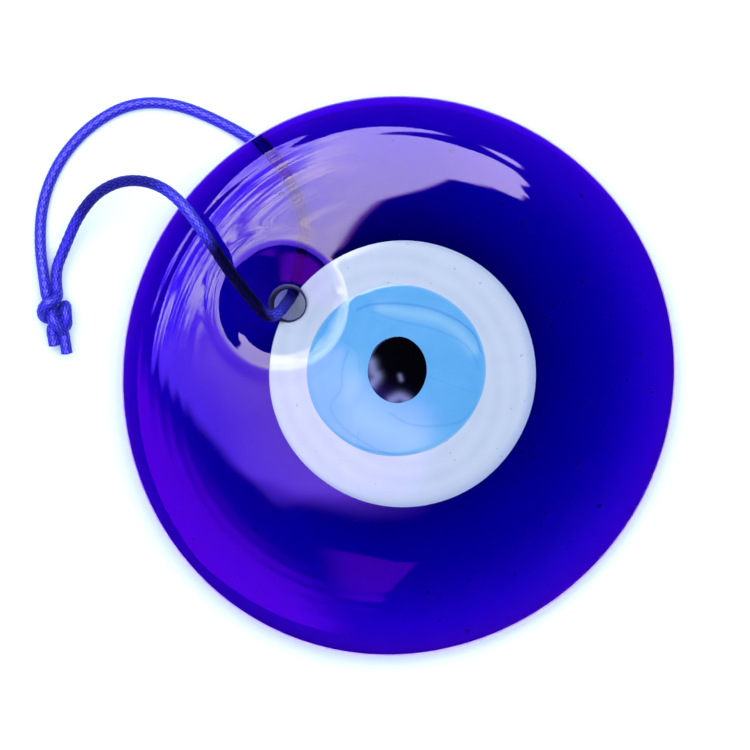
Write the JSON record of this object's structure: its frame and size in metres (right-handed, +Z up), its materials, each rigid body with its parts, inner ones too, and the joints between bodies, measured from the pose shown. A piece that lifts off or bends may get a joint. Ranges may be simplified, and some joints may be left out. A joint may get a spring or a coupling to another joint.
{
  "type": "evil eye ornament",
  "caption": "Hand-poured glass evil eye disc with white, light blue and black layers and a knotted satin hanging cord through its hole.",
  "frame": {"origin": "under the middle of the glass disc, on the surface the ornament lies on", "axes": "+X to the right and +Y to the top of the eye's face, +Z up, out of the face"},
  "size_m": [0.1099, 0.0954, 0.0181],
  "materials": {
    "cobalt_glass": "clear cobalt blue glass, fire polished, a few seed bubbles",
    "white_glass": "opaque white glass, fire polished",
    "light_blue_glass": "opaque light blue glass with faint swirls, fire polished",
    "black_glass": "opaque black glass, fire polished",
    "satin_cord": "braided satin rattail, royal blue, soft sheen"
  },
  "bodies": {
    "glass": {"glass_body": "cobalt_glass", "white_layer": "white_glass", "iris_layer": "light_blue_glass", "pupil_drop": "black_glass"},
    "cord": {"hanging_cord": "satin_cord", "cord_knot": "satin_cord", "long_tail": "satin_cord", "short_tail": "satin_cord"}
  },
  "joints": [
    {"name": "cord_swing", "type": "hinge", "parent": "glass", "child": "cord", "pos_m": [-0.01864, 0.01234, 0.00635], "axis": [0.0247, -0.0247, 0.9994], "range_deg": [-45, 25]}
  ]
}
